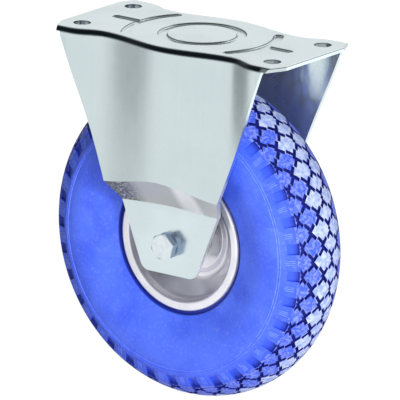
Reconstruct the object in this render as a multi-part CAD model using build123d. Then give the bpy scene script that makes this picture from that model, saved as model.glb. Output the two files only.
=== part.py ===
from build123d import *
import os
from math import cos, radians, sin, sqrt, tan

os.makedirs("parts", exist_ok=True)

# Driving sizes, in millimetres and degrees.
# The origin is the centre of the top plate's upper face, which is the centre of its bolt
# pattern. +X is the way the castor rolls, +Y runs along the axle away from the bolt head
# and +Z is up.

# Top plate
sheet = 3.5
plate_length = 220.0
plate_taper_start = 38.0
plate_taper = 0.45
fold_radius = 7.0
hole_spacing_x = 186.0
hole_spacing_y = 67.0
hole_diameter = 14.0

# Stiffening beads pressed down into the plate
bead_depth = 1.6
bead_slope = 35.0
ring_bead_inner = 27.0
ring_bead_width = 8.5
arc_bead_inner = 56.0
arc_bead_width = 8.5
arc_bead_angle = 34.0
tail_bead_end = 88.0

# Legs: distances of the outer face from the middle plane, at the top and at the step
leg_flange_x = 92.0
leg_groove_x = 62.0
leg_crest_y = 57.5
leg_groove_y = 47.5
leg_flange_y = 56.5
step_crest_y = 57.0
step_groove_y = 52.0
leg_edge_x = 100.0
leg_edge_slope = 0.375

# Step and ears at the foot of each leg
step_top = 119.0
step_arch = 9.0
step_drop = 16.0
step_bend = 4.0
ear_y = 39.0
ear_arch = 2.5
ear_edge_x = 46.5
ear_edge_slope = 0.39
ear_below_axle = 24.5
ear_corner = 9.0

# Wheel
axle_drop = 164.0
tyre_diameter = 260.0
tyre_section_radius = 36.0
tyre_flank_angle = 110.0
ridge_diameter = 208.0
ridge_height = 0.5

# Rim halves
rim_sheet = 2.0
rim_half_width = 26.0
rim_lip_diameter = 114.0
bead_seat_diameter = 102.0
rim_lip_bend = 2.6
rim_lip_curl = 3.2
tyre_gap = 0.2
dish_rim_diameter = 94.0
dish_rim_depth = 11.7
dish_floor_diameter = 68.0
disc_step_diameter = 60.0
disc_step = 3.0

# Hub and roller bearing
hub_diameter = 35.0
hub_length = 60.0
axle_tube_diameter = 20.0
roller_diameter = 5.0
roller_count = 12
running_gap = 0.025
cage_wall = 2.4
cage_gap = 0.15
cage_end = 3.0
cage_play = 0.3
thrust_ring_thickness = 1.0
cap_flange = 1.5
cap_lip = 2.0
cap_clearance = 0.25
side_play = 0.3
spacer_diameter = 28.0
spacer_clearance = 0.1

# Axle bolt and nut, M12
bolt_diameter = 12.0
bolt_length = 100.0
bolt_hole_clearance = 0.5
hex_across_flats = 19.0
bolt_head_height = 7.5
hex_corner_angle = 15.0
spring_washer_thickness = 2.5
spring_washer_diameter = 21.0
spring_washer_slit = 2.0
nut_washer_thickness = 2.5
nut_washer_diameter = 24.0
nut_height = 12.0
nut_hex_height = 8.0
nut_collar_diameter = 17.0
nut_insert_height = 3.0
nut_insert_wall = 1.6
nut_rim = 0.6

# Sizes that follow
ear_inner_y = ear_y - sheet
ear_bottom = axle_drop + ear_below_axle
axle_place = Location((0, 0, -axle_drop))
axle_tube_bore = bolt_diameter + bolt_hole_clearance
roller_path = (axle_tube_diameter + roller_diameter) / 2
hub_bore = axle_tube_diameter + 2 * roller_diameter + 4 * running_gap


def along_axle(radius, start, end):
    """Cylinder about the wheel's axis, between two distances along it."""
    disc = Plane.XZ.offset(-start) * Circle(radius)
    return axle_place * extrude(disc, -(end - start))


def ring_along_axle(outer, inner, start, end):
    low, high = min(start, end), max(start, end)
    return along_axle(outer, low, high) - along_axle(inner, low - 1, high + 1)


def round_axle(angle):
    """Turn about the wheel's axis."""
    return axle_place * Rot(0, angle, 0) * axle_place.inverse()


def spun(outline):
    """Turns an outline drawn as (radius, distance along the axle) about the wheel's axis."""
    face = make_face(outline)
    return axle_place * revolve(Plane((0, 0, 0), x_dir=(0, 0, 1), z_dir=(-1, 0, 0)) * face, Axis.Y)


def side_curve(side, level, crest, groove, flange, rise, reach):
    """One leg's wavy plan outline: straight flanges, two grooves and a crest in the middle."""
    wave = [
        (-leg_flange_x, side * flange, -level),
        (-leg_groove_x, side * groove, -level),
        (0, side * crest, -level + rise),
        (leg_groove_x, side * groove, -level),
        (leg_flange_x, side * flange, -level),
    ]
    return [
        Line((-reach, side * flange, -level), wave[0]),
        Spline(wave, tangents=[(1, 0, 0)] * len(wave)),
        Line(wave[-1], (reach, side * flange, -level)),
    ]


def section(level, crest, groove, flange, rise=0.0):
    """Closed outline through both legs at one level."""
    reach = plate_length
    near = side_curve(-1, level, crest, groove, flange, rise, reach)
    far = side_curve(1, level, crest, groove, flange, rise, reach)
    ends = [
        Line((side * reach, -flange, -level), (side * reach, flange, -level)) for side in (-1, 1)
    ]
    return Wire([curve.edge() for curve in near + far + ends])


def pressed_block(inset, lift, top, fold):
    """Solid bounded by the sheet's outer face, or by its inner face with an inset."""
    sections = [
        section(top, leg_crest_y - inset, leg_groove_y - inset, leg_flange_y - inset),
        section(
            step_top - lift,
            step_crest_y - inset,
            step_groove_y - inset,
            step_groove_y - inset,
            step_arch,
        ),
        section(step_top + step_drop - lift, ear_y - inset, ear_y - inset, ear_y - inset, ear_arch),
        section(ear_bottom + 5, ear_y - inset, ear_y - inset, ear_y - inset),
    ]
    block = Solid.make_loft(sections, ruled=True)
    fold_edges = block.edges().filter_by_position(Axis.Z, -top - 0.01, -top + 0.01)
    fold_edges = fold_edges.filter_by(lambda edge: abs(edge.center().Y) > 1)
    return fillet(fold_edges, fold)


def bracket_outline():
    """The sheet's outline seen from the side, as a solid as wide as the bracket."""
    half = plate_length / 2
    leg_top_x = leg_edge_x - leg_edge_slope * sheet
    step_x = leg_edge_x - leg_edge_slope * step_top
    ear_foot_x = ear_edge_x - ear_edge_slope * (ear_bottom - step_top - step_drop)
    right = [
        (half, 1),
        (half, -sheet),
        (leg_top_x, -sheet - 0.01),
        (step_x, -step_top),
        (ear_edge_x, -step_top - step_drop),
        (ear_foot_x, -ear_bottom),
    ]
    left = [(-x, z) for x, z in reversed(right)]
    face = make_face(Polyline(right + left, close=True))
    feet = face.vertices().filter_by_position(Axis.Y, -ear_bottom - 0.1, -ear_bottom + 0.1)
    face = fillet(feet, ear_corner)
    return extrude(Plane.XZ * face, plate_length, both=True)


def plate_outline():
    """The plate's outline seen from above: its ends taper off towards the folds."""
    half = plate_length / 2
    reach = leg_crest_y + 5
    narrow = half - plate_taper * (reach - plate_taper_start)
    corner = [(half, plate_taper_start), (narrow, reach)]
    points = corner + [(-x, y) for x, y in reversed(corner)]
    points += [(-x, -y) for x, y in corner] + [(x, -y) for x, y in reversed(corner)]
    return extrude(make_face(Polyline(points, close=True)), 2 * ear_bottom, both=True)


def bead_face(grow):
    """Plan of the plate's beads, drawn wider by grow all round."""
    ring = Circle(ring_bead_inner + ring_bead_width + grow) - Circle(ring_bead_inner - grow)
    middle = arc_bead_inner + arc_bead_width / 2
    arcs = Sketch()
    for turn in (0, 180):
        arc = CenterArc((0, 0), middle, turn - arc_bead_angle, 2 * arc_bead_angle)
        arcs += trace(arc, arc_bead_width + 2 * grow)
        for side in (-1, 1):
            angle = radians(turn + side * arc_bead_angle)
            end = Location((middle * cos(angle), middle * sin(angle)))
            arcs += end * Circle(arc_bead_width / 2 + grow)
        tail = Line((middle, 0), (tail_bead_end - arc_bead_width / 2, 0))
        tail_end = Location((tail_bead_end - arc_bead_width / 2, 0)) * Circle(arc_bead_width / 2 + grow)
        arcs += Rot(0, 0, turn) * (trace(tail, arc_bead_width + 2 * grow) + tail_end)
    return [ring, arcs]


def bracket():
    outer = pressed_block(0, 0, 0, fold_radius)
    inner_lift = sheet * tan(radians(20))
    inner = pressed_block(sheet, inner_lift, sheet, fold_radius - sheet)
    body = outer - inner
    for face in bead_face(0):
        groove = extrude(face, -bead_depth, taper=bead_slope)
        ridge = extrude(Pos(0, 0, -sheet) * offset(face, 1.0), -bead_depth, taper=bead_slope)
        body = body + ridge - groove
    body = body & bracket_outline() & plate_outline()
    holes = GridLocations(hole_spacing_x, hole_spacing_y, 2, 2) * Cylinder(hole_diameter / 2, 4 * sheet)
    body -= holes
    axle_hole = along_axle(axle_tube_bore / 2, -2 * ear_y, 2 * ear_y)
    return body - axle_hole


def hexagon(across_flats, start, end):
    """Hexagonal prism about the wheel's axis, between two distances along it."""
    face = Rot(0, 0, hex_corner_angle) * RegularPolygon(across_flats / 2, 6, major_radius=False)
    return axle_place * extrude(Plane.XZ.offset(-start) * face, -(end - start))


def axle_bolt():
    under_head = -ear_y - spring_washer_thickness
    top = under_head - bolt_head_height
    head = hexagon(hex_across_flats, top, under_head)
    crown = bolt_head_height * 0.2
    taper = crown / tan(radians(30))
    rounding = Polyline(
        (0, top),
        (hex_across_flats / 2, top),
        (hex_across_flats / 2 + taper, top + crown),
        (hex_across_flats / 2 + taper, under_head),
        (0, under_head),
        close=True,
    )
    head = head & spun(rounding)
    shank_end = under_head + bolt_length
    point = bolt_diameter / 10
    shank = Polyline(
        (0, under_head),
        (bolt_diameter / 2, under_head),
        (bolt_diameter / 2, shank_end - point),
        (bolt_diameter / 2 - point, shank_end),
        (0, shank_end),
        close=True,
    )
    return head + spun(shank)


def spring_washer():
    """Split ring: its slit runs at a slant through one side."""
    start = -ear_y - spring_washer_thickness
    ring = ring_along_axle(spring_washer_diameter / 2, axle_tube_bore / 2, start, -ear_y)
    slit = Box(spring_washer_slit, 3 * spring_washer_thickness, bolt_diameter)
    slit = Rot(0, 0, -30) * slit
    middle = -ear_y - spring_washer_thickness / 2
    return ring - axle_place * Pos(0, middle, -spring_washer_diameter / 2) * slit


def nut_washer():
    return ring_along_axle(
        nut_washer_diameter / 2, axle_tube_bore / 2, ear_y, ear_y + nut_washer_thickness
    )


nut_start = ear_y + nut_washer_thickness
nut_end = nut_start + nut_height
insert_radius = bolt_diameter / 2 + nut_insert_wall
insert_start = nut_end - nut_rim - nut_insert_height


def axle_nut():
    """Locking nut: hexagon below, round collar above that holds the nylon ring."""
    base = hexagon(hex_across_flats, nut_start, nut_start + nut_hex_height)
    corner = hex_across_flats / sqrt(3)
    bevel = corner - hex_across_flats / 2
    rounding = Polyline(
        (0, nut_start),
        (hex_across_flats / 2, nut_start),
        (corner, nut_start + bevel * tan(radians(30))),
        (corner, nut_start + nut_hex_height - bevel * tan(radians(30))),
        (hex_across_flats / 2, nut_start + nut_hex_height),
        (0, nut_start + nut_hex_height),
        close=True,
    )
    collar_radius = nut_collar_diameter / 2
    collar = Polyline(
        (0, nut_start + nut_hex_height),
        (collar_radius, nut_start + nut_hex_height),
        (collar_radius, nut_end - nut_rim),
        (collar_radius - nut_rim, nut_end),
        (0, nut_end),
        close=True,
    )
    body = (base & spun(rounding)) + spun(collar)
    body -= along_axle(bolt_diameter / 2, nut_start - 1, nut_end + 1)
    seat = along_axle(insert_radius, insert_start, nut_end - nut_rim)
    mouth = along_axle(insert_radius - nut_rim, nut_end - nut_rim, nut_end + 1)
    return body - seat - mouth


def nut_insert():
    return ring_along_axle(
        insert_radius, bolt_diameter / 2, insert_start, insert_start + nut_insert_height
    )


hub_half = hub_length / 2
cap_face = hub_half + cap_flange
cap_inner = hub_half - cap_lip
thrust_inner = cap_inner - thrust_ring_thickness
cage_half = thrust_inner - cage_play
roller_half = cage_half - cage_end - cage_gap


def axle_tube():
    return ring_along_axle(
        axle_tube_diameter / 2, axle_tube_bore / 2, -ear_inner_y, ear_inner_y
    )


def spacer(side):
    return ring_along_axle(
        spacer_diameter / 2,
        axle_tube_diameter / 2 + spacer_clearance,
        side * (cap_face + side_play),
        side * ear_inner_y,
    )


def hub_tube():
    return ring_along_axle(hub_diameter / 2, hub_bore / 2, -hub_half, hub_half)


def end_cap(side):
    """Flanged cap: its lip sits in the hub tube and its flange closes the end."""
    inner = axle_tube_diameter / 2 + cap_clearance
    flange = ring_along_axle(hub_diameter / 2, inner, side * hub_half, side * cap_face)
    lip = ring_along_axle(hub_bore / 2, inner, side * cap_inner, side * hub_half)
    return flange + lip


def thrust_ring(side):
    return ring_along_axle(
        hub_bore / 2, axle_tube_diameter / 2 + cap_clearance, side * thrust_inner, side * cap_inner
    )


def rollers():
    """All rollers of the bearing, set round the axle tube."""
    one = along_axle(roller_diameter / 2, -roller_half, roller_half)
    return Compound([
        round_axle(turn * 360 / roller_count) * Pos(0, 0, roller_path) * one
        for turn in range(roller_count)
    ])


def roller_cage():
    inner = roller_path - cage_wall / 2
    cage = ring_along_axle(inner + cage_wall, inner, -cage_half, cage_half)
    pocket_half = roller_half + cage_gap
    pocket = along_axle(roller_diameter / 2 + cage_gap, -pocket_half, pocket_half)
    for turn in range(roller_count):
        cage -= round_axle(turn * 360 / roller_count) * Pos(0, 0, roller_path) * pocket
    return cage


def rim_half(side):
    """Pressed half: flat disc on the hub, step, dish floor, dish wall, bead seat and lip."""
    seat = bead_seat_diameter / 2
    lip = rim_lip_diameter / 2
    floor_y = rim_sheet
    path = FilletPolyline(
        (hub_diameter / 2, floor_y + disc_step),
        (disc_step_diameter / 2 - disc_step, floor_y + disc_step),
        (disc_step_diameter / 2, floor_y),
        (dish_floor_diameter / 2, floor_y),
        (dish_rim_diameter / 2, floor_y + dish_rim_depth),
        (seat - rim_sheet, floor_y + dish_rim_depth + 4),
        (seat - rim_sheet, rim_half_width),
        (lip, rim_half_width),
        (lip, rim_half_width - rim_lip_curl),
        radius=[1.5, 1.5, 6, 6, 3, rim_lip_bend, rim_lip_bend - 0.4],
    )
    outline = offset(path, rim_sheet, side=Side.RIGHT)
    half = spun(outline)
    return half if side > 0 else mirror(half, Plane.XZ)


def tyre():
    """One moulding: round section, flanks drawn in to the rim, and a seat for the beads."""
    centre = tyre_diameter / 2 - tyre_section_radius
    flank = (
        centre + tyre_section_radius * cos(radians(tyre_flank_angle)),
        tyre_section_radius * sin(radians(tyre_flank_angle)),
    )
    bead_radius = rim_lip_diameter / 2 + tyre_gap
    bead_y = flank[1] - (flank[0] - bead_radius) / tan(radians(180 - tyre_flank_angle))
    seat = bead_seat_diameter / 2
    seat_half = rim_half_width - rim_lip_curl - tyre_gap
    right = [
        Line((seat, 0), (seat, seat_half)),
        Line((seat, seat_half), (bead_radius, seat_half)),
        Line((bead_radius, seat_half), (bead_radius, bead_y)),
        Line((bead_radius, bead_y), flank),
    ]
    crown = ThreePointArc(flank, (tyre_diameter / 2, 0), (flank[0], -flank[1]))
    left = [mirror(line, Plane.XZ) for line in right]
    return spun(Wire([part.edge() for part in right + left + [crown]]))


def save(shape, name):
    export_step(shape, "parts/" + name + ".step")


save(bracket(), "bracket")
save(axle_bolt(), "axle_bolt")
save(spring_washer(), "spring_washer")
save(nut_washer(), "nut_washer")
save(axle_nut(), "axle_nut")
save(nut_insert(), "nut_insert")
save(axle_tube(), "axle_tube")
save(hub_tube(), "hub_tube")
save(rollers(), "rollers")
save(roller_cage(), "roller_cage")
save(tyre(), "tyre")
for name, side in (("near", -1), ("far", 1)):
    save(spacer(side), "spacer_" + name)
    save(end_cap(side), "end_cap_" + name)
    save(thrust_ring(side), "thrust_ring_" + name)
    save(rim_half(side), "rim_" + name)
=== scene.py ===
from math import cos, floor, pi, radians, sin

import bmesh
import bpy
from bmesh.types import BMEdge, BMVert
from mathutils import Matrix, Vector


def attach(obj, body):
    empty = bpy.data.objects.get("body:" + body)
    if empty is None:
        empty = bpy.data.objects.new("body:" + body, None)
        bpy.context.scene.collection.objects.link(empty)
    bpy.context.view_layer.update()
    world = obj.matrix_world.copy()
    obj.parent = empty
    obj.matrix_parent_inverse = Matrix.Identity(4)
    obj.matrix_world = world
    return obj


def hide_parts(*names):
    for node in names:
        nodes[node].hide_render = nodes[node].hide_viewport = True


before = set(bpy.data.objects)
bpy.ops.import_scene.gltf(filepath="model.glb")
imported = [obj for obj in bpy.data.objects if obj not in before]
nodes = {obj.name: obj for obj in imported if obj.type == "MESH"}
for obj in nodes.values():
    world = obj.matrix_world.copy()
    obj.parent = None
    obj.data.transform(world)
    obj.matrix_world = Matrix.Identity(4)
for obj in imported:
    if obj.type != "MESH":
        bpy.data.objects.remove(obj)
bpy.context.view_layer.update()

scene = bpy.context.scene
axleZ = -0.164                                   # height of the wheel's axis, from the plate's upper face
print("frame loaded:", len(nodes), "nodes")


# camera, at the photograph's angle

camera = {
    "azimuth": 36.380, "elevation": 15.682, "roll": 0.990,
    "lookAt": (0.0, 0.0, -0.120),
    "aside": -0.000351, "above": 0.015243, "away": 7.923183,
    "focal": 10035.49, "frameWidth": 400.0, "sensor": 36.0,    # focal length and frame in pixels
    "clipEnd": 60.0,
}


def makeCamera(c):
    around, high, tip = radians(c["azimuth"]), radians(c["elevation"]), radians(c["roll"])
    back = Vector((sin(around) * cos(high), -cos(around) * cos(high), sin(high)))
    level = Vector((cos(around), sin(around), 0.0))
    upright = back.cross(level)
    right = cos(tip) * level + sin(tip) * upright
    up = cos(tip) * upright - sin(tip) * level
    data = bpy.data.cameras.new("camera")
    data.sensor_width = c["sensor"]
    data.lens = c["focal"] / c["frameWidth"] * c["sensor"]
    data.clip_end = c["clipEnd"]
    data.dof.use_dof = False
    eye = bpy.data.objects.new("camera", data)
    place = Vector(c["lookAt"]) - c["aside"] * right - c["above"] * up + c["away"] * back
    eye.matrix_world = Matrix.Translation(place) @ Matrix((right, up, back)).transposed().to_4x4()
    scene.collection.objects.link(eye)
    scene.camera = eye


makeCamera(camera)
print("camera placed")


# shader maths: one wrapped socket, so that masks read as sums and products

mixSockets = {"factor": 0, "first": 6, "second": 7, "result": 2}    # of a Mix node that mixes colours
noiseRough = 0.55
white = (1.0, 1.0, 1.0)


def rgb(colour):
    return (*colour, 1.0)


class Wire:
    def __init__(self, tree, socket=None):
        self.tree = tree
        self.socket = socket

    def node(self, kind, settings=None, values=None, out=0):
        made = self.tree.nodes.new("ShaderNode" + kind)
        for name, value in (settings or {}).items():
            setattr(made, name, value)
        for name, value in (values or {}).items():
            if isinstance(value, Wire):
                self.tree.links.new(value.socket, made.inputs[name])
            else:
                made.inputs[name].default_value = value
        return Wire(self.tree, made.outputs[out])

    def maths(self, operation, *others):
        return self.node("Math", {"operation": operation}, dict(enumerate((self, *others))))

    def __add__(self, other):
        return self.maths("ADD", other)

    def __radd__(self, other):
        return self.maths("ADD", other)

    def __mul__(self, other):
        return self.maths("MULTIPLY", other)

    def __rmul__(self, other):
        return self.maths("MULTIPLY", other)

    def __sub__(self, other):
        return self.maths("SUBTRACT", other)

    def __rsub__(self, other):
        return self.maths("MULTIPLY", -1.0).maths("ADD", other)

    def __truediv__(self, other):
        return self.maths("DIVIDE", other)

    def size(self):
        return self.maths("ABSOLUTE")

    def larger(self, other):
        return self.maths("MAXIMUM", other)

    def step(self, low, high):
        return self.node("MapRange", {"interpolation_type": "SMOOTHSTEP"},
                         {"Value": self, "From Min": low, "From Max": high})

    def band(self, rise, fall):
        return self.step(*rise) * (1.0 - self.step(*fall))

    def mix(self, first, second):
        values = {mixSockets["factor"]: self}
        for side, end in (("first", first), ("second", second)):
            values[mixSockets[side]] = end if isinstance(end, Wire) else rgb(end)
        return self.node("Mix", {"data_type": "RGBA"}, values, mixSockets["result"])

    def noise(self, scale, detail):
        values = {"Vector": self, "Scale": scale, "Detail": detail, "Roughness": noiseRough}
        return self.node("TexNoise", None, values)

    def stretched(self, scale):
        return self.node("Mapping", None, {"Vector": self, "Scale": scale})

    def split(self):
        parts = self.node("SeparateXYZ", None, {"Vector": self}).socket.node.outputs
        return [Wire(self.tree, part) for part in parts]

    def bump(self, height, relief):
        return self.node("Bump", None, {"Height": height, "Distance": relief})


def newMaterial(build, fixed):
    made = bpy.data.materials.new(build.__name__)
    made.use_nodes = True
    tree = made.node_tree
    shader = tree.nodes["Principled BSDF"]
    for socket, value in fixed.items():
        shader.inputs[socket].default_value = value
    place = Wire(tree).node("TexCoord", out="Object")
    for socket, value in build(place).items():
        tree.links.new(value.socket, shader.inputs[socket])
    return made


def distance(a, b):
    return (a * a + b * b).maths("SQRT")


def axleRadius(place):
    x, y, z = place.split()
    return distance(x, z - axleZ)


def turned(place, scale):
    # coordinates for fine rings round the axle
    along = place.split()[1]
    return place.node("CombineXYZ", None, {"X": axleRadius(place) * scale, "Y": along * scale})


def grained(place, s):
    # even grain between two shades
    grain = place.noise(s["scale"], s["detail"])
    return {"Base Color": grain.mix(s["low"], s["high"]), "Roughness": s["rough"] + grain * s["grainRough"],
            "Normal": place.bump(grain, s["relief"])}


# zinc on the bracket: each mask rises or fades between the two numbers of its pair

zinc = {
    # the ear colour is a painted reflection: the flat ear low on each leg is tinted brighter
    "bright": (0.69, 0.785, 0.80), "dull": (0.63, 0.725, 0.745), "ear": (0.72, 0.82, 0.85),
    # the dark colour is painted reflection and shade on folds, beads and holes, and also a smudge on the step
    "step": (0.57, 0.585, 0.58), "stepHighlight": (1.0, 1.0, 0.98), "dark": (0.022, 0.034, 0.042),
    "rough": 0.20, "cloudRough": 0.10, "stepRough": 0.12, "insideMatt": 0.12, "stepMatt": 0.50,
    "cloudScale": 22.0, "cloudEdge": (0.36, 0.64), "cloudShare": 0.8,
    "drawnScale": (420.0, 420.0, 9.0), "drawnShare": 0.6, "relief": 0.000015,
    "insideFace": (0.010, 0.030),                # faces that look at the middle plane
    # step masks: painted shade on the step band's faces that look down
    "stepLean": (0.16, 0.40), "stepLevel": (0.095, 0.105), "earLevel": (0.128, 0.140),
    # fold masks: where a painted dark reflection runs along the bend of each fold
    "foldAside": (0.036, 0.044), "foldTop": (0.0003, 0.0008), "foldFoot": (0.0026, 0.0045),
    "foldLean": (0.08, 0.30), "foldEnd": (0.095, 0.099),
    # bead masks: painted shade along the flanks of the pressed beads
    "beadTop": (0.0002, 0.0005), "beadFoot": (0.0008, 0.0012), "beadShare": 0.8,
    # hole masks: painted shade on the walls of the bolt holes
    "holeX": 0.093, "holeY": 0.0335, "holeEdge": (0.0068, 0.0073), "holeShare": 0.75,
    "smudgeEnd": (-0.038, -0.018), "smudgeScale": 480.0, "smudgeEdge": (0.30, 0.56), "smudgeShare": 0.80,
    # painted highlight: where the near-white patch on the step band starts and ends
    "stepHighlightStart": (0.008, 0.019), "stepHighlightEnd": (0.029, 0.037),
}


def zincMasks(place, s):
    x, y, z = place.split()
    faceY, faceZ = place.node("TexCoord", out="Normal").split()[1:]
    aside, drop = y.size(), -1.0 * z
    inside = (-1.0 * faceY * y).step(*s["insideFace"])
    # painted shade: faces of the step band that look down get a darker, duller grey
    step = (-1.0 * faceZ).step(*s["stepLean"]) * drop.step(*s["stepLevel"]) * (1.0 - inside)
    # painted reflection: below this level the flat ear is tinted brighter
    ear = drop.step(*s["earLevel"])
    # painted highlight: a near-white patch on the step band, standing for the arch's glint
    stepHighlight = step * x.band(s["stepHighlightStart"], s["stepHighlightEnd"])
    # painted reflection: the bend of each fold is darkened where it mirrors dim surroundings
    fold = aside.step(*s["foldAside"]) * drop.band(s["foldTop"], s["foldFoot"])
    fold = fold * faceY.size().step(*s["foldLean"]) * (1.0 - x.step(*s["foldEnd"]))
    # painted shade: thin dark lines along the pressed beads in the plate
    bead = drop.band(s["beadTop"], s["beadFoot"]) * s["beadShare"]
    # painted shade: the walls of the bolt holes are darkened
    hole = (1.0 - distance(x.size() - s["holeX"], aside - s["holeY"]).step(*s["holeEdge"])) * s["holeShare"]
    specks = place.noise(s["smudgeScale"], 3.0).step(*s["smudgeEdge"])
    smudge = step * (1.0 - x.step(*s["smudgeEnd"])) * specks * s["smudgeShare"]
    # the last mask joins the fold's painted reflection, the painted shade of beads and holes, and the smudge
    return inside, step, ear, stepHighlight, fold.larger(bead).larger(smudge).larger(hole)


def zincSheet(place):
    s = zinc
    inside, step, ear, stepHighlight, dark = zincMasks(place, s)
    cloud = place.noise(s["cloudScale"], 4.0).step(*s["cloudEdge"])
    drawn = place.stretched(s["drawnScale"]).noise(1.0, 2.0)
    shade = (cloud * s["cloudShare"] + (drawn - 0.5) * s["drawnShare"]).mix(s["dull"], s["bright"])
    for mask, colour in ((ear, "ear"), (step, "step"), (stepHighlight, "stepHighlight"), (dark, "dark")):
        shade = mask.mix(shade, s[colour])
    rough = s["rough"] + cloud * s["cloudRough"] + step * s["stepRough"]
    return {"Base Color": shade, "Roughness": rough, "Normal": place.bump(drawn, s["relief"]),
            "Metallic": 1.0 - inside * s["insideMatt"] - step * s["stepMatt"]}


# other metals

fastener = {
    # the sides colour is painted shade, tinted blue
    "dull": (0.68, 0.76, 0.81), "bright": (0.76, 0.83, 0.87), "sides": (0.34, 0.41, 0.53),
    "face": (0.0470, 0.0484),                    # where the bolt head's sides end and its face starts
    "cloudScale": 300.0, "cloudEdge": (0.35, 0.65), "scratchScale": (900.0, 3000.0, 900.0),
    "rough": 0.10, "cloudRough": 0.06, "relief": 0.00003,
}
steel = {
    "oily": (0.38, 0.38, 0.39), "clean": (0.56, 0.57, 0.59), "oilScale": 60.0, "oilEdge": (0.40, 0.62),
    "ringScale": 4000.0, "rough": 0.24, "cleanRough": 0.16, "relief": 0.00003,
}
rimPlate = {
    "dull": (0.76, 0.76, 0.82), "bright": (0.86, 0.86, 0.92), "cloudScale": 45.0, "cloudEdge": (0.35, 0.65),
    "ringScale": 1500.0, "rough": 0.15, "cloudRough": 0.06, "ringRough": 0.08, "relief": 0.00004,
}


def platedFastener(place):
    s = fastener
    cloud = place.noise(s["cloudScale"], 3.0).step(*s["cloudEdge"])
    scratch = place.stretched(s["scratchScale"]).noise(1.0, 2.0)
    # painted shade: the head's sides are darker and bluer than its face
    sides = 1.0 - place.split()[1].size().step(*s["face"])
    shade = sides.mix(cloud.mix(s["dull"], s["bright"]), s["sides"])
    return {"Base Color": shade, "Roughness": s["rough"] + cloud * s["cloudRough"],
            "Normal": place.bump(scratch, s["relief"])}


def groundSteel(place):
    s = steel
    rings = turned(place, s["ringScale"]).noise(1.0, 2.0)
    clean = place.noise(s["oilScale"], 3.0).step(*s["oilEdge"])
    return {"Base Color": clean.mix(s["oily"], s["clean"]),
            "Roughness": s["rough"] + clean * s["cleanRough"], "Normal": place.bump(rings, s["relief"])}


def platedRim(place):
    s = rimPlate
    rings = turned(place, s["ringScale"]).noise(1.0, 3.0)
    cloud = place.noise(s["cloudScale"], 3.0).step(*s["cloudEdge"])
    rough = s["rough"] + cloud * s["cloudRough"] + rings * s["ringRough"]
    return {"Base Color": cloud.mix(s["dull"], s["bright"]), "Roughness": rough,
            "Normal": place.bump(rings, s["relief"])}


# plastics

cream = {
    "low": (0.74, 0.72, 0.64), "high": (0.86, 0.84, 0.77), "scale": 400.0, "detail": 3.0,
    "rough": 0.42, "grainRough": 0.12, "relief": 0.00003,
}
black = {
    "low": (0.018, 0.018, 0.020), "high": (0.045, 0.045, 0.050), "scale": 1400.0, "detail": 2.0,
    "rough": 0.48, "grainRough": 0.14, "relief": 0.00004,
}


def nylon(place):
    return grained(place, cream)


def blackPlastic(place):
    return grained(place, black)


# tyre rubber: deep blue; the tread's faces are paler, partly a bloom on the rubber and partly painted sheen

rubber = {
    "blue": (0.088, 0.180, 0.93), "deep": (0.044, 0.105, 0.80), "lugShade": (0.050, 0.115, 0.80),
    # the edge colour is a painted highlight on the sipe ribs and the flank's ridge crests
    # the hollow colour is painted shade for the gaps between lugs, the crevice at the rim and the strips
    # under the sipes
    "hollow": (0.014, 0.028, 0.30), "edge": (0.17, 0.28, 0.95),
    # on the tread's faces, pale and bloom stand partly for a real bloom and partly for painted sheen
    "pale": (0.56, 0.64, 0.86), "bloomAndSheen": (0.26, 0.35, 0.80),
}
flankMarks = {
    "cloudScale": 35.0, "cloudEdge": (0.34, 0.66), "cloudShare": 0.7,
    "speckScale": 420.0, "speckEdge": (0.52, 0.70), "speckShare": 0.10,
    "grainScale": 1500.0, "grainShare": 0.3, "ringScale": 700.0,
    # lugFrom: radii past which the side lugs get painted shade
    "lugFrom": (0.105, 0.111), "lugShare": 0.8, "rough": 0.42, "cloudRough": 0.10, "relief": 0.00010,
}
treadMarks = {
    "cloudScale": 240.0, "cloudEdge": (0.34, 0.66), "grainScale": 1300.0,
    "rough": 0.46, "grainRough": 0.12, "relief": 0.00012,
}
dimples = {
    "pitScale": 420.0, "pitEdge": (0.42, 0.60), "pitShare": 0.22,
    "patchScale": 150.0, "patchEdge": (0.40, 0.60), "patchShare": 0.08,
    "rough": 0.50, "pitRough": 0.10, "relief": 0.00045,
}
# painted shade: the grooves' rubber is near-black navy, standing for the shade inside them
grooveShade = {
    "low": (0.008, 0.010, 0.14), "high": (0.016, 0.022, 0.26), "scale": 700.0, "detail": 2.0,
    "rough": 0.55, "grainRough": 0.10, "relief": 0.00010,
}
hollowShade = {
    # painted shade: radii past which the gap floors darken towards the tread, and inside which the bead's
    # edge darkens in the crevice
    "tread": (0.1110, 0.1180), "crevice": (0.0596, 0.0602),    # radii: darker outwards, darker inwards
    "grainScale": 500.0, "rough": 0.50, "grainRough": 0.10, "relief": 0.00012,
}
edgeHighlight = {
    # painted highlight: patches of lighter blue on sipe ribs and ridge crests
    "highlightScale": 260.0, "highlightEdge": (0.36, 0.62), "rough": 0.34, "highlightRough": 0.10, "relief": 0.00006,
}


def sideRubber(place):
    s = flankMarks
    rings = turned(place, s["ringScale"]).noise(1.0, 2.0)
    cloud = place.noise(s["cloudScale"], 4.0).step(*s["cloudEdge"])
    grain = place.noise(s["grainScale"], 2.0)
    specks = place.noise(s["speckScale"], 3.0).step(*s["speckEdge"])
    shade = (cloud * s["cloudShare"] + grain * s["grainShare"]).mix(rubber["deep"], rubber["blue"])
    # painted shade: past this radius the side lugs are darkened to match the flank's brightness
    shade = (axleRadius(place).step(*s["lugFrom"]) * s["lugShare"]).mix(shade, rubber["lugShade"])
    shade = (specks * s["speckShare"]).mix(shade, rubber["pale"])
    return {"Base Color": shade, "Roughness": s["rough"] + cloud * s["cloudRough"],
            "Normal": place.bump((grain + rings) * 0.5, s["relief"])}


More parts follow.
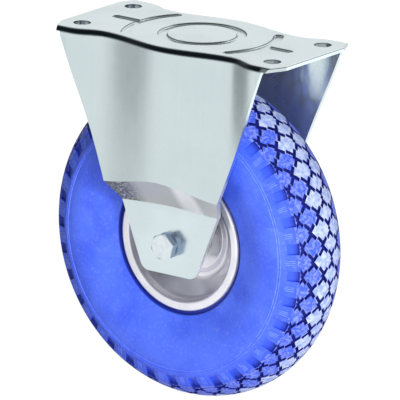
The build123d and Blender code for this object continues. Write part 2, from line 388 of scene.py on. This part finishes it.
def treadRubber(place):
    s = treadMarks
    cloud = place.noise(s["cloudScale"], 3.0).step(*s["cloudEdge"])
    grain = place.noise(s["grainScale"], 3.0)
    # partly bloom, partly painted sheen: the tread's faces are much paler than the flank
    return {"Base Color": cloud.mix(rubber["bloomAndSheen"], rubber["pale"]),
            "Roughness": s["rough"] + grain * s["grainRough"], "Normal": place.bump(grain, s["relief"])}


def dimpledRubber(place):
    s = dimples
    pits = place.noise(s["pitScale"], 2.0).step(*s["pitEdge"])
    patch = place.noise(s["patchScale"], 2.0).step(*s["patchEdge"])
    shade = (pits * s["pitShare"] + patch * s["patchShare"]).mix(rubber["deep"], rubber["pale"])
    return {"Base Color": shade, "Roughness": s["rough"] + pits * s["pitRough"],
            "Normal": place.bump(pits, s["relief"])}


def grooveRubber(place):
    # painted shade inside the grooves
    return grained(place, grooveShade)


def hollowRubber(place):
    # painted shade: blue at the foot of each gap between lugs, darkening towards the tread and in the crevice
    # at the rim
    s = hollowShade
    radius = axleRadius(place)
    grain = place.noise(s["grainScale"], 3.0)
    dark = radius.step(*s["tread"]) + 1.0 - radius.step(*s["crevice"])
    return {"Base Color": dark.mix(rubber["deep"], rubber["hollow"]),
            "Roughness": s["rough"] + grain * s["grainRough"], "Normal": place.bump(grain, s["relief"])}


def edgeRubber(place):
    s = edgeHighlight
    # painted highlight: sipe ribs and ridge crests are lighter blue in patches
    highlightPatches = place.noise(s["highlightScale"], 3.0).step(*s["highlightEdge"])
    return {"Base Color": highlightPatches.mix(rubber["blue"], rubber["edge"]),
            "Roughness": s["rough"] + highlightPatches * s["highlightRough"], "Normal": place.bump(highlightPatches, s["relief"])}


fixedValues = {
    zincSheet: {}, nylon: {}, blackPlastic: {},
    platedFastener: {"Metallic": 1.0}, groundSteel: {"Metallic": 1.0}, platedRim: {"Metallic": 0.72},
    sideRubber: {"Specular IOR Level": 0.45}, treadRubber: {"Specular IOR Level": 0.45},
    dimpledRubber: {"Specular IOR Level": 0.45}, grooveRubber: {"Specular IOR Level": 0.3},
    hollowRubber: {"Specular IOR Level": 0.4}, edgeRubber: {"Specular IOR Level": 0.5},
}
finishes = {build.__name__: newMaterial(build, fixed) for build, fixed in fixedValues.items()}
print("finishes made:", len(finishes))


# tyre: a flat tile of the tread is cut and marked, repeated, bent round the wheel, its grooves pressed in

# levels on the tile are 0 at the crown and fall towards the flank

tyre = {
    "across": 0.260, "section": 0.036,           # diameter of the wheel, radius of the round section
    "pitches": 33, "phase": 39.1,                # degrees from the top to the first gap between side lugs
    "rowStep": 0.0098,                           # from one row of groove crossings to the next
    "roundFrom": 2.3, "roundTo": 3.2, "roundKeep": 0.75,    # rows over which the outer corners are drawn in
    "dimpledFrom": 2,                            # row from which the diamonds are dimpled
    "lines": 3,                                  # lattice lines cut on each side of the tile's middle one
    "cuts": (0.03, 0.095, 0.21, 0.34, 0.48, 0.52, 0.70, 0.905),    # more cuts beside a line, in lattice steps
    "upperEnd": 0.48, "upperHalf": 0.095,        # dashes of the grooves, along and beside a line
    "lowerEnds": (0.52, 0.905), "lowerSides": (0.03, 0.21),
    "grooveDepth": 0.0028,
    "shoulder": -0.0336, "shoulderWidth": 0.0002, "shoulderDrop": 0.0005, "bandEnd": -0.0443,
    "gapHalf": 0.0048, "gapWall": 0.0003, "lugMiddle": 0.0036,
    "gapFloor": ((-0.0316, 0.0), (-0.0322, 0.0022), (-0.0352, 0.0028), (-0.0382, 0.0026), (-0.0418, 0.0013),
                 (-0.0443, 0.0)),                # level on the tile, and how deep the gap is there
    # gapDark: levels between which the gap floors take the painted shade of the hollows
    "gapDark": (-0.0418, -0.0316),
    "sipes": 3, "sipeStep": 0.0018, "sipeWide": 0.0008, "sipeLong": 0.0088, "sipeAt": -0.0392,
    "sipeHigh": 0.0005, "stripHigh": 0.0001,
    # rest of the flank as (radius, distance from the middle plane), with two ridge lines and the bead's edge
    "flank": ((0.1067, 0.03372), (0.1055, 0.03408), (0.1051, 0.03462), (0.1047, 0.03425), (0.1036, 0.03446),
              (0.1032, 0.03498), (0.1028, 0.03462), (0.1010, 0.03526), (0.0980, 0.03576), (0.0940, 0.03596),
              (0.0900, 0.03573), (0.0860, 0.03506), (0.0817, 0.03380), (0.0760, 0.03173), (0.0700, 0.02955),
              (0.0655, 0.02795), (0.0630, 0.02720), (0.0612, 0.02665), (0.0601, 0.02600), (0.0595, 0.02480),
              (0.0591, 0.02262), (0.0511, 0.02262), (0.0511, 0.0)),
    "ridges": (0.03462, 0.03498),
    # painted shade: inside this radius the bead's edge takes the dark colour of the hollows
    "crevice": 0.0600,                           # from this radius inwards the edge lies in the dark
    "openEdge": 0.030,                           # the open edge lies farther than this from the middle plane
    "weld": 2e-5, "snap": 1e-7, "slack": 1e-6,   # points this close count as one
    "sharp": 35.0,                               # degrees, past which an edge isn't smoothed
}
tyre["pitch"] = pi * tyre["across"] / tyre["pitches"]
tyre["zigzagEnd"] = -tyre["roundTo"] * tyre["rowStep"]
tyreFinishes = ("sideRubber", "treadRubber", "dimpledRubber", "grooveRubber", "hollowRubber", "edgeRubber")
side, tread, dimpled, groove, hollow, edge = range(len(tyreFinishes))


def lattice(u, w, t):
    # skewed coordinates in which every crossing of the grooves is a pair of whole numbers
    half = t["pitch"] / 2
    return (u / half - 1 + w / t["rowStep"]) / 2, (u / half - 1 - w / t["rowStep"]) / 2


def inDash(along, aside, t):
    # an upper dash on the line, then a lower one set inwards, with a thin rib between the two
    (start, end), (near, far) = t["lowerEnds"], t["lowerSides"]
    upper = along < t["upperEnd"] and abs(aside) < t["upperHalf"]
    return upper or (start < along < end and near < aside < far)


def inGroove(a, b, t):
    # the dashes of both lines, and the crossing itself
    asideA, asideB = (a + 0.5) % 1 - 0.5, 0.5 - (b + 0.5) % 1
    crossing = max(abs(asideA), abs(asideB)) < t["upperHalf"]
    return inDash(a % 1, asideB, t) or inDash(-b % 1, asideA, t) or crossing


def drawnIn(w, t):
    # level of a point once the outer rows are drawn in
    rows = -w / t["rowStep"]
    kept = min(max(rows, t["roundFrom"]), t["roundTo"])
    return w + (kept - t["roundFrom"]) * (1 - t["roundKeep"]) * t["rowStep"]


def gapDepth(w, t):
    # of the gap between two side lugs, at this level
    for (high, shallow), (low, deep) in zip(t["gapFloor"], t["gapFloor"][1:]):
        if low - t["slack"] <= w <= high:
            return deep + (shallow - deep) * (w - low) / (high - low)
    return 0.0


def cutTile(bm, point, normal, t, above=None, below=None):
    # only the faces above or below a level are cut
    faces = [f for f in bm.faces if (above is None or f.calc_center_median().y > above)
             and (below is None or f.calc_center_median().y < below)]
    parts = faces + list({e for f in faces for e in f.edges}) + list({v for f in faces for v in f.verts})
    bmesh.ops.bisect_plane(bm, geom=parts, dist=t["snap"], plane_co=point, plane_no=normal)


def cutTread(bm, t):
    # level cuts first, then the gap and the lug, then the skewed lines of the diamonds
    pitch, zigzagEnd = t["pitch"], t["zigzagEnd"]
    levels = [zigzagEnd, t["shoulder"], t["shoulder"] - t["shoulderWidth"]]
    for level in levels + [w for w, deep in t["gapFloor"][:-1]]:
        cutTile(bm, (0, level, 0), (0, 1, 0), t)
    inner = t["gapHalf"] - t["gapWall"]
    for level in (inner / 2, inner, t["gapHalf"], pitch / 2 - t["lugMiddle"]):
        for place in (level, pitch - level):
            cutTile(bm, (place, 0, 0), (1, 0, 0), t, below=zigzagEnd)
    cutTile(bm, (pitch / 2, 0, 0), (1, 0, 0), t, below=zigzagEnd)
    for hand in (1, -1):
        normal = Vector((t["rowStep"], hand * pitch / 2, 0)).normalized()
        for line in range(-t["lines"], t["lines"] + 1):
            for cut in (0.0,) + t["cuts"]:
                place = pitch / 2 * (1 + 2 * (line + hand * cut))
                cutTile(bm, (place, 0, 0), normal, t, above=zigzagEnd)


# the grooves and the upper floors of the gaps between lugs take finishes that are painted shade
def finishAt(u, w, t):
    if w > t["zigzagEnd"]:
        a, b = lattice(u, w, t)
        if inGroove(a, b, t):
            return groove
        return tread if floor(b) - floor(a) < t["dimpledFrom"] else dimpled
    gapFoot, gapTop = t["gapDark"]
    if min(u, t["pitch"] - u) < t["gapHalf"] and w < gapTop:
        return hollow if w > gapFoot else side
    return side if w < t["shoulder"] else dimpled


def shapeTile(bm, t):
    for face in bm.faces:
        face.material_index = finishAt(*face.calc_center_median().xy, t)
    for vert in bm.verts:
        u, w = vert.co.xy
        if min(u, t["pitch"] - u) < t["gapHalf"] - t["gapWall"] / 2:
            vert.co.z -= gapDepth(w, t)
        elif w < t["shoulder"] - t["shoulderWidth"] / 2:
            vert.co.z -= t["shoulderDrop"]
        vert.co.y = drawnIn(w, t)


def addSipes(bm, t):
    # thin ribs side by side on a dark strip: the ribs carry a painted highlight and the strip painted shade
    wide = t["sipes"] * t["sipeStep"]
    bars = [(0.0, wide, t["stripHigh"], hollow)]
    for k in range(t["sipes"]):
        bars.append((k * t["sipeStep"] - (wide - t["sipeStep"]) / 2, t["sipeWide"], t["sipeHigh"], edge))
    for aside, width, height, finish in bars:
        known = set(bm.faces)
        made = bmesh.ops.create_cube(bm, size=1.0)["verts"]
        place = Matrix.Translation((t["pitch"] / 2 + aside, drawnIn(t["sipeAt"], t), -t["shoulderDrop"]))
        size = Matrix.Diagonal((width, t["sipeLong"], 2 * height, 1))
        bmesh.ops.transform(bm, verts=made, matrix=place @ size)
        for face in set(bm.faces) - known:
            face.material_index = finish


def bend(verts, t):
    # round the tyre's section and round the axle
    radius, section = t["across"] / 2, t["section"]
    for vert in verts:
        turn, lean = radians(t["phase"]) + vert.co.x / radius, vert.co.y / section
        out = radius - section + (section + vert.co.z) * cos(lean)
        vert.co = Vector((out * sin(turn), (section + vert.co.z) * sin(lean), axleZ + out * cos(turn)))


def only(parts, kind):
    return [part for part in parts if isinstance(part, kind)]


def repeatTile(bm, t):
    tile = bm.verts[:] + bm.edges[:] + bm.faces[:]
    for turn in range(1, t["pitches"]):
        copy = bmesh.ops.duplicate(bm, geom=tile)["geom"]
        bmesh.ops.translate(bm, verts=only(copy, BMVert), vec=(turn * t["pitch"], 0, 0))
    bend(bm.verts, t)


def atRadius(vert, radius, y=0.0):
    # the point straight out from the axle on the vertex's side
    out = Vector((vert.co.x, 0, vert.co.z - axleZ)).normalized() * radius
    return Vector((out.x, y, axleZ + out.z))


def sink(verts, depth, t):
    # towards the middle of the tyre's round section
    core = t["across"] / 2 - t["section"]
    for vert in verts:
        lean = (vert.co - atRadius(vert, core)).normalized()
        vert.co -= lean * depth


def pressGrooves(bm, t):
    lids = [face for face in bm.faces if face.material_index == groove]
    known = set(bm.faces)
    pressed = bmesh.ops.extrude_face_region(bm, geom=lids)["geom"]
    for face in set(bm.faces) - known:
        face.material_index = groove
    sink(only(pressed, BMVert), t["grooveDepth"], t)
    bmesh.ops.delete(bm, geom=lids, context="FACES")


def drawFlank(bm, edges, t):
    # the ring's open edge is drawn down the flank, over the bead and in to the middle plane
    for radius, along in t["flank"]:
        grown = bmesh.ops.extrude_edge_only(bm, edges=edges)["geom"]
        edges = only(grown, BMEdge)
        for vert in only(grown, BMVert):
            vert.co = atRadius(vert, radius, -along)
        # ridge crests get the painted highlight, and the bead's edge inside the crevice radius gets the
        # painted shade
        finish = edge if along in t["ridges"] else hollow if radius < t["crevice"] else side
        for face in {f for e in edges for f in e.link_faces}:
            face.material_index = finish


def addObject(name, bm):
    mesh = bpy.data.meshes.new(name)
    bm.to_mesh(mesh)
    bm.free()
    made = bpy.data.objects.new(name, mesh)
    scene.collection.objects.link(made)
    return made


def makeTyre(t):
    bm = bmesh.new()
    bmesh.ops.create_grid(bm, x_segments=1, y_segments=1, size=0.5)
    place = Matrix.Translation((t["pitch"] / 2, t["bandEnd"] / 2, 0))
    size = Matrix.Diagonal((t["pitch"], -t["bandEnd"], 1, 1))
    bmesh.ops.transform(bm, verts=bm.verts, matrix=place @ size)
    cutTread(bm, t)
    shapeTile(bm, t)
    repeatTile(bm, t)
    bmesh.ops.remove_doubles(bm, verts=bm.verts, dist=t["weld"])
    openEdges = [e for e in bm.edges if e.is_boundary and max(abs(v.co.y) for v in e.verts) > t["openEdge"]]
    drawFlank(bm, openEdges, t)

    sipes = bmesh.new()
    addSipes(sipes, t)
    repeatTile(sipes, t)
    sipeMesh = bpy.data.meshes.new("sipes")
    sipes.to_mesh(sipeMesh)
    sipes.free()
    bm.from_mesh(sipeMesh)
    bpy.data.meshes.remove(sipeMesh)

    half = bm.verts[:] + bm.edges[:] + bm.faces[:]
    bmesh.ops.mirror(bm, geom=half, matrix=Matrix.Identity(4), merge_dist=t["weld"], axis="Y")
    pressGrooves(bm, t)
    bmesh.ops.recalc_face_normals(bm, faces=bm.faces)
    print("tyre:", len(bm.faces), "faces,", sum(not e.is_manifold for e in bm.edges), "open edges")

    piece = addObject("tyreBlue", bm)
    piece.data.shade_smooth()
    piece.data.set_sharp_from_angle(angle=radians(t["sharp"]))
    for name in tyreFinishes:
        piece.data.materials.append(finishes[name])
    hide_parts("tyre")
    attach(piece, "wheel")


makeTyre(tyre)
print("tyre made")


# floor, world and lamps: metal sees a white sweep, its ceiling dim, its left dim and its far right bright

studio = {
    "floorZ": -0.2945, "floorSize": 30.0,               # half a millimetre under the tyre
    "floorWhite": 0.90, "shadowShare": 0.12, "floorGlow": 1.10, "ambient": 0.14,
    "ceiling": (0.50, 0.66), "ceilingShade": 0.22,      # sines of the heights where it starts and is full
    "flag": (0.60, 0.97), "flagShade": 0.42,            # how far round to the left, in the same way
    "gleam": (0.35, 0.60), "gleamShade": 1.5,           # bright side at the right and behind
}
lamps = {
    "keyLamp": {"at": (2.53, -1.60, 1.00), "size": 0.9, "power": 84.0},
    "frontLamp": {"at": (0.36, -0.52, -0.22), "size": 0.3, "power": 1.9},
    "backLamp": {"at": (-2.2, 2.4, 0.7), "size": 1.2, "power": 90.0},
}
lampsAimAt = (0.0, 0.0, -0.15)


def sweep(side, depth, s):
    # brightness of the white sweep as metal sees it, by how far round it lies
    flag = (-1.0 * side).step(*s["flag"])
    gleam = side.step(*s["gleam"]) * depth.step(*s["gleam"])
    return 1.0 - flag * (1.0 - s["flagShade"]) + gleam * (s["gleamShade"] - 1.0)


def floorMaterial(s):
    # the camera and metal see it glow white, but for a share of the shadows
    material = bpy.data.materials.new("paleFloor")
    material.use_nodes = True
    tree = material.node_tree
    tree.nodes.remove(tree.nodes["Principled BSDF"])
    start = Wire(tree)
    inMetal, inCamera, through = [start.node("LightPath", out=ray + " Ray")
                                  for ray in ("Is Glossy", "Is Camera", "Is Transmission")]
    seen = inCamera * (1.0 - s["shadowShare"]) + inMetal + through
    x, y = start.node("TexCoord", out="Object").split()[:2]
    away = distance(x, y)
    glow = s["floorGlow"] + inMetal * (sweep(x / away, y / away, s) - s["floorGlow"])
    matt = start.node("BsdfDiffuse", None, {"Color": rgb((s["floorWhite"],) * 3)})
    lit = start.node("Emission", None, {"Color": rgb(white), "Strength": glow})
    both = start.node("MixShader", None, {0: seen, 1: matt, 2: lit})
    tree.links.new(both.socket, tree.nodes["Material Output"].inputs["Surface"])
    return material


def makeFloor(s):
    bm = bmesh.new()
    bmesh.ops.create_grid(bm, x_segments=2, y_segments=2, size=s["floorSize"] / 2)
    bmesh.ops.translate(bm, verts=bm.verts, vec=(0, 0, s["floorZ"]))
    ground = addObject("floor", bm)
    ground.data.materials.append(floorMaterial(s))


def makeWorld(s):
    world = bpy.data.worlds.new("studioWorld")
    scene.world = world
    world.use_nodes = True
    tree = world.node_tree
    start = Wire(tree)
    x, y, z = start.node("TexCoord", out="Generated").split()
    ceiling = z.step(*s["ceiling"])
    asMetalSees = sweep(x, y, s) * (1.0 - ceiling) + ceiling * s["ceilingShade"]
    inMetal = start.node("LightPath", out="Is Glossy Ray")
    level = inMetal * asMetalSees + (1.0 - inMetal) * s["ambient"]
    tree.links.new(level.socket, tree.nodes["Background"].inputs["Strength"])
    tree.nodes["Background"].inputs["Color"].default_value = rgb(white)


def makeLamp(name, lamp):
    data = bpy.data.lights.new(name, "AREA")
    data.shape = "SQUARE"
    data.size = lamp["size"]
    data.energy = lamp["power"]
    made = bpy.data.objects.new(name, data)
    made.location = lamp["at"]
    aim = Vector(lampsAimAt) - Vector(lamp["at"])
    made.rotation_euler = aim.to_track_quat("-Z", "Y").to_euler()
    made.visible_glossy = False
    scene.collection.objects.link(made)


makeFloor(studio)
makeWorld(studio)
for name, lamp in lamps.items():
    makeLamp(name, lamp)
scene.view_settings.view_transform = "Standard"
print("studio lit")


# finishes on the nodes

nodeFinishes = {
    "zincSheet": ("bracket",),
    "platedFastener": ("axle_bolt", "spring_washer", "nut_washer", "axle_nut"),
    "nylon": ("nut_insert",),
    "groundSteel": ("axle_tube", "spacer_near", "spacer_far", "hub_tube", "end_cap_near", "end_cap_far",
                    "thrust_ring_near", "thrust_ring_far", "rollers"),
    "blackPlastic": ("roller_cage",),
    "platedRim": ("rim_near", "rim_far"),
    "sideRubber": ("tyre",),
}
for finish, names in nodeFinishes.items():
    for name in names:
        mesh = nodes[name].data
        mesh.materials.clear()
        mesh.materials.append(finishes[finish])
print("finishes on the nodes")
